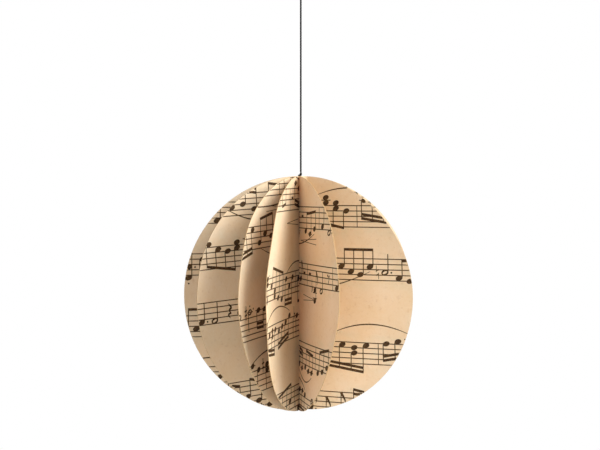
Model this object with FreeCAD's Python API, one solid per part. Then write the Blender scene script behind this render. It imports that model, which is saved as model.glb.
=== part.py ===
import FreeCAD, Part
import math
import os

# A ball of music paper that hangs on a thread. Six equal round discs lie in a stack and are
# sewn together along one diameter. Beside the seam each disc is bent, so that its two halves
# stand out as leaves, and the twelve leaves together outline a sphere.
# The origin is the inside top of the hanging loop, +Z is up, +X is to the right and -Y is
# towards the viewer. Lengths are in millimetres and angles in degrees.
# An azimuth is counted from -Y, and it grows towards +X.

# Discs
disc_diameter = 80.0
paper_thickness = 0.20
disc_gap = 0.03
bend_radius = 1.5

# How far a leaf's section runs past the rim before it is trimmed round
rim_allowance = 1.0

# Where the leaves point. The halves of every disc leave the seam in opposite directions, the
# left half at seam_azimuth. Each row starts with the front disc, and a leaf's azimuth is its
# heading midway between its root and its rim.
seam_azimuth = -45.0
left_leaf_azimuths = (18.8, -15.3, -29.0, -57.8, -78.5, -124.0)
right_leaf_azimuths = (65.2, 106.0, 130.0, 153.0, 175.0, 198.0)

# How far the heading of each leaf turns between its root and its rim
left_leaf_curls = (11.0, 7.0, 8.0, 12.0, 10.0, -7.0)
right_leaf_curls = (13.0, 8.0, -6.0, 5.0, -8.0, -9.0)

# Thread and seam
thread_diameter = 0.6
needle_hole_clearance = 0.15
seam_strip_margin = 0.15
stitch_length = 8.4
seam_end_margin = 2.5
stitch_clearance = 0.02
stitch_bend_radius = 0.45

# Knots
top_knot_width = 0.9
top_knot_height = 1.2
start_knot_width = 1.2
start_knot_height = 1.4
loop_knot_width = 1.4
loop_knot_height = 1.8
knot_clearance = 0.05
cut_end_length = 2.2
cut_end_splay = 22.0

# Hanging thread and loop
hanging_thread_length = 61.5
hook_diameter = 5.0
loop_length = 13.0
strand_gap = 0.15

disc_radius = disc_diameter / 2
thread_radius = thread_diameter / 2
disc_count = len(left_leaf_azimuths)
disc_pitch = paper_thickness + disc_gap
half_stack = (disc_pitch * (disc_count - 1) + paper_thickness) / 2
needle_hole_radius = thread_radius + needle_hole_clearance
seam_strip_half_width = needle_hole_radius + seam_strip_margin

# Heights along the axis, from the loop down
loop_arc_radius = hook_diameter / 2 + thread_radius
loop_arc_height = -hook_diameter / 2
loop_knot_middle = loop_knot_height / 2 - loop_length
loop_knot_bottom = loop_knot_middle - loop_knot_height / 2
top_knot_top = loop_knot_bottom - hanging_thread_length
top_knot_middle = top_knot_top - top_knot_height / 2
ball_top = top_knot_top - top_knot_height - knot_clearance
ball_centre = ball_top - disc_radius
ball_bottom = ball_centre - disc_radius

# The number of needle holes is even, so the seam's thread starts and ends on the back
seam_height = disc_diameter - 2 * seam_end_margin
hole_count = 2 * max(1, round((seam_height / stitch_length + 1) / 2))
hole_spacing = seam_height / (hole_count - 1)
hole_heights = [ball_bottom + seam_end_margin + i * hole_spacing for i in range(hole_count)]


def direction(azimuth):
    """Unit vector away from the axis at an azimuth in radians."""
    return FreeCAD.Vector(math.sin(azimuth), -math.cos(azimuth), 0)


def sideways(azimuth):
    """Unit vector square to direction(azimuth), on the side where azimuths grow."""
    return FreeCAD.Vector(math.cos(azimuth), math.sin(azimuth), 0)


up = FreeCAD.Vector(0, 0, 1)
seam_heading = math.radians(seam_azimuth)
along_stack = direction(seam_heading)
stack_normal = sideways(seam_heading)


def beside_axis(offset, height):
    """Point this far in front of the stack's middle, at this height."""
    return stack_normal * offset + up * height


# A leaf's section, seen from above, is a row of stretches

class Stretch:
    """A straight or evenly turning stretch of a leaf's centreline."""

    def __init__(self, start, heading, length, turn):
        self.start = start
        self.heading = heading
        self.length = length
        self.turn = turn

    def point(self, share, offset=0.0):
        """Point at a share of the length, offset to the side where azimuths grow."""
        heading = self.heading + self.turn * share
        if self.turn:
            radius = self.length / self.turn
            travel = (sideways(self.heading) - sideways(heading)) * radius
        else:
            travel = direction(heading) * (self.length * share)
        return self.start + travel + sideways(heading) * offset

    def edge(self, offset):
        """The stretch as a line or an arc, offset to the side."""
        first = self.point(0, offset)
        last = self.point(1, offset)
        if self.turn:
            return Part.Arc(first, self.point(0.5, offset), last).toShape()
        return Part.LineSegment(first, last).toShape()


def leaf_stretches(number, heading, azimuth, curl):
    """The seam strip, the bend and the curled leaf of one half of a disc."""
    root_azimuth = azimuth - curl / 2
    bend_turn = math.radians(root_azimuth) - heading
    discs_outside = min(number, disc_count - 1 - number)
    radius = bend_radius + discs_outside * disc_pitch
    bend_length = radius * abs(bend_turn)
    leaf_length = disc_radius - seam_strip_half_width - bend_length
    past_rim = 1 + rim_allowance / leaf_length
    middle = (disc_count - 1) / 2 - number
    steps = [
        (seam_strip_half_width, 0.0),
        (bend_length, bend_turn),
        (leaf_length * past_rim, math.radians(curl) * past_rim),
    ]
    start = stack_normal * (middle * disc_pitch)
    stretches = []
    for length, turn in steps:
        if length > 0:
            stretch = Stretch(start, heading, length, turn)
            stretches.append(stretch)
            start = stretch.point(1)
            heading += turn
    return stretches


def disc(number):
    """One sheet: its section raised to the ball's height, trimmed round, with needle holes."""
    left = leaf_stretches(
        number, seam_heading, left_leaf_azimuths[number], left_leaf_curls[number])
    right = leaf_stretches(
        number, seam_heading + math.pi, right_leaf_azimuths[number], right_leaf_curls[number])
    half = paper_thickness / 2
    front = [s.edge(half) for s in reversed(left)] + [s.edge(-half) for s in right]
    back = [s.edge(half) for s in reversed(right)] + [s.edge(-half) for s in left]
    right_rim = Part.LineSegment(right[-1].point(1, -half), right[-1].point(1, half)).toShape()
    left_rim = Part.LineSegment(left[-1].point(1, -half), left[-1].point(1, half)).toShape()
    outline = Part.Wire(Part.__sortEdges__(front + [right_rim] + back + [left_rim]))
    section = Part.Face(outline)
    section.translate(up * (ball_bottom - half))
    tall = section.extrude(up * (disc_diameter + paper_thickness))
    ball = Part.makeSphere(disc_radius, up * ball_centre)
    return tall.common(ball).cut(needle_holes())


def needle_holes():
    """Straight holes through the whole stack, one above the other."""
    reach = half_stack + paper_thickness
    holes = []
    for height in hole_heights:
        start = beside_axis(-reach, height)
        holes.append(Part.makeCylinder(needle_hole_radius, 2 * reach, start, stack_normal))
    return Part.makeCompound(holes)


# Thread

def line(first, last):
    """A straight edge."""
    return Part.LineSegment(first, last).toShape()


def rounded_path(points, radius):
    """Straight runs through the points, with a tangent arc of this radius at each corner."""
    edges = []
    start = points[0]
    for before, corner, after in zip(points, points[1:], points[2:]):
        into = (corner - before).normalize()
        out = (after - corner).normalize()
        half_turn = into.getAngle(out) / 2
        reach = radius * math.tan(half_turn)
        sagitta = radius / math.cos(half_turn) - radius
        first = corner - into * reach
        last = corner + out * reach
        middle = corner + (out - into).normalize() * sagitta
        edges.append(line(start, first))
        edges.append(Part.Arc(first, middle, last).toShape())
        start = last
    edges.append(line(start, points[-1]))
    return Part.Wire(edges)


def tube(path):
    """Round thread along a path, checked against its section times its length."""
    first = path.OrderedEdges[0]
    start = first.valueAt(first.FirstParameter)
    heading = first.tangentAt(first.FirstParameter)
    ring = Part.Wire(Part.makeCircle(thread_radius, start, heading))
    solid = path.makePipeShell([ring], True, False)
    expected = math.pi * thread_radius ** 2 * path.Length
    print(f"  tube {path.Length:.2f} long, volume {solid.Volume:.3f}, expected {expected:.3f}")
    return solid


def knot(width, height, centre):
    """A tight knot as an upright barrel with round ends."""
    radius = width / 2
    half_straight = height / 2 - radius
    low = centre - up * half_straight
    high = centre + up * half_straight
    barrel = Part.makeCylinder(radius, 2 * half_straight, low, up)
    return barrel.fuse([Part.makeSphere(radius, low), Part.makeSphere(radius, high)]).removeSplitter()


def seam_path():
    """Running stitch: along the front, through the stack, along the back, and over the edge."""
    face_offset = half_stack + stitch_clearance + thread_radius
    points = [beside_axis(-start_knot_offset, hole_heights[0])]
    side = 1
    for lower, upper in zip(hole_heights, hole_heights[1:]):
        points.append(beside_axis(side * face_offset, lower))
        points.append(beside_axis(side * face_offset, upper))
        side = -side
    points.append(beside_axis(side * face_offset, hole_heights[-1]))
    points.append(beside_axis(side * face_offset, top_knot_middle))
    points.append(beside_axis(0, top_knot_middle))
    print(f"  seam radii {stitch_bend_radius} at {len(points) - 2} corners")
    return rounded_path(points, stitch_bend_radius)


def start_knot():
    """The knot on the back of the stack, with two cut ends that point down and apart."""
    centre = beside_axis(-start_knot_offset, hole_heights[0])
    solid = knot(start_knot_width, start_knot_height, centre)
    for side in (-1, 1):
        splay = math.radians(cut_end_splay) * side
        heading = along_stack * math.sin(splay) - up * math.cos(splay)
        solid = solid.fuse(Part.makeCylinder(thread_radius, cut_end_length, centre, heading))
    return solid.removeSplitter()


def loop_path():
    """Two strands that rise from the knot and lie tangent to the arc over the hook."""
    foot_reach = thread_radius + strand_gap / 2
    foot = FreeCAD.Vector(foot_reach, 0, loop_knot_middle)
    centre = FreeCAD.Vector(0, 0, loop_arc_height)
    distance = (foot - centre).Length
    foot_angle = math.atan2(foot.z - centre.z, foot.x)
    touch_angle = foot_angle + math.acos(loop_arc_radius / distance)
    touch = FreeCAD.Vector(math.cos(touch_angle), 0, math.sin(touch_angle)) * loop_arc_radius
    right_touch = centre + touch
    left_touch = FreeCAD.Vector(-right_touch.x, 0, right_touch.z)
    top = centre + up * loop_arc_radius
    left_foot = FreeCAD.Vector(-foot.x, 0, foot.z)
    arc = Part.Arc(right_touch, top, left_touch).toShape()
    print(f"  loop radius {loop_arc_radius}")
    return Part.Wire([line(foot, right_touch), arc, line(left_touch, left_foot)])


start_knot_offset = half_stack + knot_clearance + start_knot_width / 2
top_knot = knot(top_knot_width, top_knot_height, up * top_knot_middle)
loop_knot = knot(loop_knot_width, loop_knot_height, up * loop_knot_middle)
seam_start_knot = start_knot()
hanging_path = Part.Wire([line(up * top_knot_middle, up * loop_knot_middle)])

nodes = {f"paper_disc_{i + 1}": disc(i) for i in range(disc_count)}
nodes["seam_thread"] = tube(seam_path()).cut([seam_start_knot, top_knot])
nodes["seam_start_knot"] = seam_start_knot
nodes["top_knot"] = top_knot
nodes["hanging_thread"] = tube(hanging_path).cut([top_knot, loop_knot])
nodes["loop_knot"] = loop_knot
nodes["hanging_loop"] = tube(loop_path()).cut(loop_knot)

os.makedirs("parts", exist_ok=True)
for name, shape in nodes.items():
    print(f"{name}: {len(shape.Solids)} solid, volume {shape.Volume:.3f}, valid {shape.isValid()}")
    shape.exportStep(f"parts/{name}.step")
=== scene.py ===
import logging
import math
from dataclasses import dataclass, field
from enum import Enum
from typing import Sequence

import bpy
import numpy as np
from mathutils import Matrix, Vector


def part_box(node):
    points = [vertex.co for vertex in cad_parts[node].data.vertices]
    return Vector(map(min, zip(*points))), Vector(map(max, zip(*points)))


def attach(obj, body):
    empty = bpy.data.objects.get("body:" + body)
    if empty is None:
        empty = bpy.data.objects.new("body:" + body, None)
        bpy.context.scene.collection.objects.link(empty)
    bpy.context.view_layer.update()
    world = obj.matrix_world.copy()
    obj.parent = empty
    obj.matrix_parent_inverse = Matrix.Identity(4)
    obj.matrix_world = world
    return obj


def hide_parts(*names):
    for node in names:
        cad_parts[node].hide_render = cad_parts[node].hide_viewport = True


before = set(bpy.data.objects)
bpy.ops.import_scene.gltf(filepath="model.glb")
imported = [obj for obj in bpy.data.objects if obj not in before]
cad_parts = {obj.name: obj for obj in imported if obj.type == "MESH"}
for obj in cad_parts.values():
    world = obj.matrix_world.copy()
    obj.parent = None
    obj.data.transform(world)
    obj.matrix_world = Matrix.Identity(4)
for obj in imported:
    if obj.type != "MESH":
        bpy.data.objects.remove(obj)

# A ball of printed music paper on a black thread. The paper, the print, the thread and the
# studio are built here in millimetres, in the frame of the solids, and put into metres when
# a mesh is made. A page coordinate is counted from the seam: x along the paper, to the
# reader's right, and z up from the ball's middle.

MM = 0.001
SEED = 20
SHARP_ANGLE = math.radians(40)
log = logging.getLogger("paper_ball")
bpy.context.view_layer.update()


def height_range(node: str) -> tuple[float, float]:
    """Lowest and highest point of a solid, in millimetres.

    Args:
        node: the solid's name.

    Returns:
        The two heights.
    """
    low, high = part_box(node)
    return low.z / MM, high.z / MM


# Nodes and meshes

def linear_rgba(code: str) -> tuple[float, float, float, float]:
    """Turn an sRGB hex colour into linear light.

    Args:
        code: six hex digits after a hash sign.

    Returns:
        Red, green, blue and an alpha of one.
    """
    srgb = np.array([int(code[i:i + 2], 16) for i in (1, 3, 5)]) / 255
    light = np.where(srgb <= 0.04045, srgb / 12.92, ((srgb + 0.055) / 1.055) ** 2.4)
    return (float(light[0]), float(light[1]), float(light[2]), 1.0)


def add_node(tree: bpy.types.NodeTree, kind: str, inputs: dict | None = None,
             **settings: object) -> bpy.types.Node:
    """Add a node, set its options, and set or link its inputs.

    Args:
        tree: the node tree.
        kind: the node's type name.
        inputs: input name or number to a value, or to an output socket to link from.
        settings: the node's own options.

    Returns:
        The new node.
    """
    node = tree.nodes.new(kind)
    for name, value in settings.items():
        setattr(node, name, value)
    for name, value in (inputs or {}).items():
        if isinstance(value, bpy.types.NodeSocket):
            tree.links.new(value, node.inputs[name])
        else:
            node.inputs[name].default_value = value
    return node


def new_material(name: str) -> tuple[bpy.types.Material, bpy.types.NodeTree]:
    """Make a material with an empty node tree.

    Args:
        name: the material's name.

    Returns:
        The material and its tree.
    """
    material = bpy.data.materials.new(name)
    material.use_nodes = True
    material.node_tree.nodes.clear()
    return material, material.node_tree


def mesh_object(name: str, points: np.ndarray, quads: np.ndarray,
                materials: Sequence[bpy.types.Material],
                slots: np.ndarray | None = None) -> bpy.types.Object:
    """Put a mesh of quads into the scene, smooth except at its sharp edges.

    Args:
        name: the object's name.
        points: corner places in millimetres, one row each.
        quads: four corner numbers a row.
        materials: the object's material slots.
        slots: slot number of each quad, all zero if left out.

    Returns:
        The object, at the origin.
    """
    mesh = bpy.data.meshes.new(name)
    mesh.vertices.add(len(points))
    mesh.vertices.foreach_set("co", (points * MM).astype(np.float32).ravel())
    mesh.loops.add(quads.size)
    mesh.loops.foreach_set("vertex_index", quads.astype(np.int32).ravel())
    mesh.polygons.add(len(quads))
    mesh.polygons.foreach_set("loop_start", np.arange(0, quads.size, 4, dtype=np.int32))
    for material in materials:
        mesh.materials.append(material)
    if slots is not None:
        mesh.polygons.foreach_set("material_index", slots.astype(np.int32))
    mesh.update(calc_edges=True)
    mesh.validate()
    mesh.shade_smooth()
    mesh.set_sharp_from_angle(angle=SHARP_ANGLE)
    piece = bpy.data.objects.new(name, mesh)
    bpy.context.scene.collection.objects.link(piece)
    return piece


def grid_quads(rows: int, columns: int, closed: bool = False) -> np.ndarray:
    """Number the quads of a grid of points that is stored row by row.

    Args:
        rows: points down the grid.
        columns: points across the grid.
        closed: whether the last column joins the first.

    Returns:
        Four point numbers a row.
    """
    spans = columns if closed else columns - 1
    row, column = np.mgrid[0:rows - 1, 0:spans]
    following = (column + 1) % columns
    corners = [row * columns + column, row * columns + following,
               (row + 1) * columns + following, (row + 1) * columns + column]
    return np.stack(corners, axis=-1).reshape(-1, 4)


# Finishes

@dataclass(frozen=True)
class MusicPaper:
    """Uncoated cream book paper, aged to tan: matt, fibrous, and a little light comes through.

    Its IOR is that of cellulose, 1.5, and its roughness that of uncoated stock, 0.85.
    """

    name: str = "aged_music_paper"
    base: str = "#f9e6c8"
    mottle: str = "#f3dab1"
    fleck: str = "#b98f5c"
    through: str = "#e6a860"
    see_through: float = 0.22
    fibre_mm: float = 0.35
    mottle_mm: float = 9.0
    fleck_mm: float = 1.6
    tooth_mm: float = 0.02
    grain_mm: float = 0.9
    grain_share: float = 0.9
    tone_range: tuple[float, float] = (0.6, 1.3)
    fleck_range: tuple[float, float] = (0.56, 0.80)
    fleck_strength: float = 0.45

    def build(self) -> bpy.types.Material:
        """Make the material."""
        material, tree = new_material(self.name)
        place = add_node(tree, "ShaderNodeTexCoord").outputs["Object"]
        clouds = add_node(tree, "ShaderNodeTexNoise", {
            "Vector": place, "Scale": 1 / (self.mottle_mm * MM), "Detail": 3.0,
            "Roughness": 0.55})
        grain = add_node(tree, "ShaderNodeTexNoise", {
            "Vector": place, "Scale": 1 / (self.grain_mm * MM), "Detail": 2.0,
            "Roughness": 0.8})
        both = add_node(tree, "ShaderNodeMath", {
            0: grain.outputs["Fac"], 1: self.grain_share, 2: clouds.outputs["Fac"]},
            operation="MULTIPLY_ADD")
        spread = add_node(tree, "ShaderNodeMapRange", {
            "Value": both.outputs["Value"], "From Min": self.tone_range[0],
            "From Max": self.tone_range[1]})
        tone = add_node(tree, "ShaderNodeMix", {
            "Factor": spread.outputs["Result"], "A": linear_rgba(self.base),
            "B": linear_rgba(self.mottle)}, data_type="RGBA")
        return self.finish(material, tree, place, tone)

    def finish(self, material: bpy.types.Material, tree: bpy.types.NodeTree,
               place: bpy.types.NodeSocket, tone: bpy.types.Node) -> bpy.types.Material:
        """Add flecks, fibres and the light that comes through.

        Args:
            material: the material.
            tree: its node tree.
            place: the object coordinates.
            tone: the mix that gives the mottled ground colour.

        Returns:
            The material.
        """
        specks = add_node(tree, "ShaderNodeTexNoise", {
            "Vector": place, "Scale": 1 / (self.fleck_mm * MM), "Detail": 5.0,
            "Roughness": 0.7})
        few = add_node(tree, "ShaderNodeMapRange", {
            "Value": specks.outputs["Fac"], "From Min": self.fleck_range[0],
            "From Max": self.fleck_range[1], "To Min": 0.0, "To Max": self.fleck_strength})
        colour = add_node(tree, "ShaderNodeMix", {
            "Factor": few.outputs["Result"], "B": linear_rgba(self.fleck)}, data_type="RGBA")
        tree.links.new(tone.outputs["Result"], colour.inputs["A"])
        fibres = add_node(tree, "ShaderNodeTexNoise", {
            "Vector": place, "Scale": 1 / (self.fibre_mm * MM), "Detail": 4.0,
            "Roughness": 0.65})
        relief = add_node(tree, "ShaderNodeBump", {
            "Height": fibres.outputs["Fac"], "Strength": 0.5,
            "Distance": self.tooth_mm * MM})
        face = add_node(tree, "ShaderNodeBsdfPrincipled", {
            "Base Color": colour.outputs["Result"], "Roughness": 0.85, "IOR": 1.5,
            "Specular IOR Level": 0.25, "Normal": relief.outputs["Normal"]})
        glow = add_node(tree, "ShaderNodeBsdfTranslucent", {"Color": linear_rgba(self.through)})
        both = add_node(tree, "ShaderNodeMixShader", {
            0: self.see_through, 1: face.outputs["BSDF"], 2: glow.outputs["BSDF"]})
        add_node(tree, "ShaderNodeOutputMaterial", {"Surface": both.outputs["Shader"]})
        return material


@dataclass(frozen=True)
class CutPaperEdge:
    """The cut edge of the same paper: darker than its faces throughout, and fuzzy."""

    name: str = "cut_paper_edge"
    base: str = "#ccab7c"
    shade: str = "#b28f61"
    fibre_mm: float = 0.25

    def build(self) -> bpy.types.Material:
        """Make the material."""
        material, tree = new_material(self.name)
        place = add_node(tree, "ShaderNodeTexCoord").outputs["Object"]
        fibres = add_node(tree, "ShaderNodeTexNoise", {
            "Vector": place, "Scale": 1 / (self.fibre_mm * MM), "Detail": 3.0})
        tone = add_node(tree, "ShaderNodeMix", {
            "Factor": fibres.outputs["Fac"], "A": linear_rgba(self.base),
            "B": linear_rgba(self.shade)}, data_type="RGBA")
        face = add_node(tree, "ShaderNodeBsdfPrincipled", {
            "Base Color": tone.outputs["Result"], "Roughness": 0.95, "IOR": 1.5,
            "Specular IOR Level": 0.2})
        add_node(tree, "ShaderNodeOutputMaterial", {"Surface": face.outputs["BSDF"]})
        return material


@dataclass(frozen=True)
class PrintersInk:
    """Old letterpress ink that has browned and sunk into the paper: matt, with thin spots.

    Dried ink film has an IOR near 1.5 and, sunk into uncoated stock, a roughness near 0.7.
    """

    name: str = "browned_printing_ink"
    base: str = "#3a2611"
    thin: str = "#6b4f27"
    spot_mm: float = 0.8
    thin_range: tuple[float, float] = (0.45, 0.75)

    def build(self) -> bpy.types.Material:
        """Make the material."""
        material, tree = new_material(self.name)
        place = add_node(tree, "ShaderNodeTexCoord").outputs["Object"]
        spots = add_node(tree, "ShaderNodeTexNoise", {
            "Vector": place, "Scale": 1 / (self.spot_mm * MM), "Detail": 4.0,
            "Roughness": 0.7})
        thinness = add_node(tree, "ShaderNodeMapRange", {
            "Value": spots.outputs["Fac"], "From Min": self.thin_range[0],
            "From Max": self.thin_range[1]})
        tone = add_node(tree, "ShaderNodeMix", {
            "Factor": thinness.outputs["Result"], "A": linear_rgba(self.base),
            "B": linear_rgba(self.thin)}, data_type="RGBA")
        face = add_node(tree, "ShaderNodeBsdfPrincipled", {
            "Base Color": tone.outputs["Result"], "Roughness": 0.7, "IOR": 1.5,
            "Specular IOR Level": 0.3})
        add_node(tree, "ShaderNodeOutputMaterial", {"Surface": face.outputs["BSDF"]})
        return material


@dataclass(frozen=True)
class TwistedThread:
    """Black cotton thread of three plies: soft, with a short fuzz that catches the light.

    Cotton's IOR is about 1.53 and its roughness about 0.8. The fibres are far finer than the
    render shows, so they are drawn at 0.12 mm.
    """

    name: str = "black_cotton_thread"
    base: str = "#060505"
    worn: str = "#100e0c"
    fibre_mm: float = 0.12
    fuzz_mm: float = 0.03

    def build(self) -> bpy.types.Material:
        """Make the material."""
        material, tree = new_material(self.name)
        place = add_node(tree, "ShaderNodeTexCoord").outputs["Object"]
        fibres = add_node(tree, "ShaderNodeTexNoise", {
            "Vector": place, "Scale": 1 / (self.fibre_mm * MM), "Detail": 3.0,
            "Roughness": 0.6})
        tone = add_node(tree, "ShaderNodeMix", {
            "Factor": fibres.outputs["Fac"], "A": linear_rgba(self.base),
            "B": linear_rgba(self.worn)}, data_type="RGBA")
        relief = add_node(tree, "ShaderNodeBump", {
            "Height": fibres.outputs["Fac"], "Strength": 0.4,
            "Distance": self.fuzz_mm * MM})
        face = add_node(tree, "ShaderNodeBsdfPrincipled", {
            "Base Color": tone.outputs["Result"], "Roughness": 0.8, "IOR": 1.53,
            "Specular IOR Level": 0.2, "Sheen Weight": 0.03, "Sheen Roughness": 0.5,
            "Normal": relief.outputs["Normal"]})
        add_node(tree, "ShaderNodeOutputMaterial", {"Surface": face.outputs["BSDF"]})
        return material


@dataclass(frozen=True)
class PaintedBoard:
    """A matt white painted board, IOR 1.5 and roughness 0.9, that fades out at its rim."""

    radius: float
    name: str = "white_painted_board"
    base: str = "#f4f2ee"
    shade: str = "#e9e6e0"
    brush_mm: float = 14.0
    solid_share: float = 0.55

    def build(self) -> bpy.types.Material:
        """Make the material."""
        material, tree = new_material(self.name)
        place = add_node(tree, "ShaderNodeTexCoord").outputs["Object"]
        brush = add_node(tree, "ShaderNodeTexNoise", {
            "Vector": place, "Scale": 1 / (self.brush_mm * MM), "Detail": 4.0})
        tone = add_node(tree, "ShaderNodeMix", {
            "Factor": brush.outputs["Fac"], "A": linear_rgba(self.base),
            "B": linear_rgba(self.shade)}, data_type="RGBA")
        face = add_node(tree, "ShaderNodeBsdfPrincipled", {
            "Base Color": tone.outputs["Result"], "Roughness": 0.9, "IOR": 1.5})
        flat = add_node(tree, "ShaderNodeVectorMath", {0: place, 1: (1.0, 1.0, 0.0)},
                        operation="MULTIPLY")
        out = add_node(tree, "ShaderNodeVectorMath", {0: flat.outputs["Vector"]},
                       operation="LENGTH")
        fade = add_node(tree, "ShaderNodeMapRange", {
            "Value": out.outputs["Value"], "From Min": self.radius * self.solid_share * MM,
            "From Max": self.radius * MM}, interpolation_type="SMOOTHSTEP")
        clear = add_node(tree, "ShaderNodeBsdfTransparent")
        both = add_node(tree, "ShaderNodeMixShader", {
            0: fade.outputs["Result"], 1: face.outputs["BSDF"], 2: clear.outputs["BSDF"]})
        add_node(tree, "ShaderNodeOutputMaterial", {"Surface": both.outputs["Shader"]})
        return material


# Paper

def across(azimuth: np.ndarray | float) -> np.ndarray:
    """Horizontal unit vectors square to a heading, on the side where azimuths grow."""
    return np.stack([np.cos(azimuth), np.sin(azimuth)], axis=-1)


def along(azimuth: np.ndarray | float) -> np.ndarray:
    """Horizontal unit vectors along a heading, counted from the viewer's side."""
    return np.stack([np.sin(azimuth), -np.cos(azimuth)], axis=-1)


@dataclass(frozen=True)
class Leaf:
    """Where one half of a disc points: its azimuth, curl and twist in degrees."""

    azimuth: float
    curl: float
    twist: float = 0.0


class Face(Enum):
    """The two printed faces of a disc. The value is the sign of its outward offset."""

    FRONT = 1
    BACK = -1


@dataclass
class Stack:
    """Sizes that all discs of the sewn stack share, in millimetres and degrees."""

    middle: float
    count: int = 6
    radius: float = 40.0
    thickness: float = 0.20
    gap: float = 0.03
    bend_radius: float = 1.5
    strip: float = 0.60
    seam_azimuth: float = -45.0
    hole_radius: float = 0.45
    hole_count: int = 10
    hole_margin: float = 2.5

    @property
    def pitch(self) -> float:
        """Distance from one sheet to the next at the seam."""
        return self.thickness + self.gap

    @property
    def half(self) -> float:
        """Half the stack's thickness."""
        return (self.pitch * (self.count - 1) + self.thickness) / 2

    @property
    def normal(self) -> np.ndarray:
        """Horizontal unit vector out of the stack's front."""
        return across(math.radians(self.seam_azimuth))

    @property
    def hole_heights(self) -> np.ndarray:
        """Heights of the needle holes, from the lowest up."""
        reach = self.radius - self.hole_margin
        return self.middle + np.linspace(-reach, reach, self.hole_count)


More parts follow.
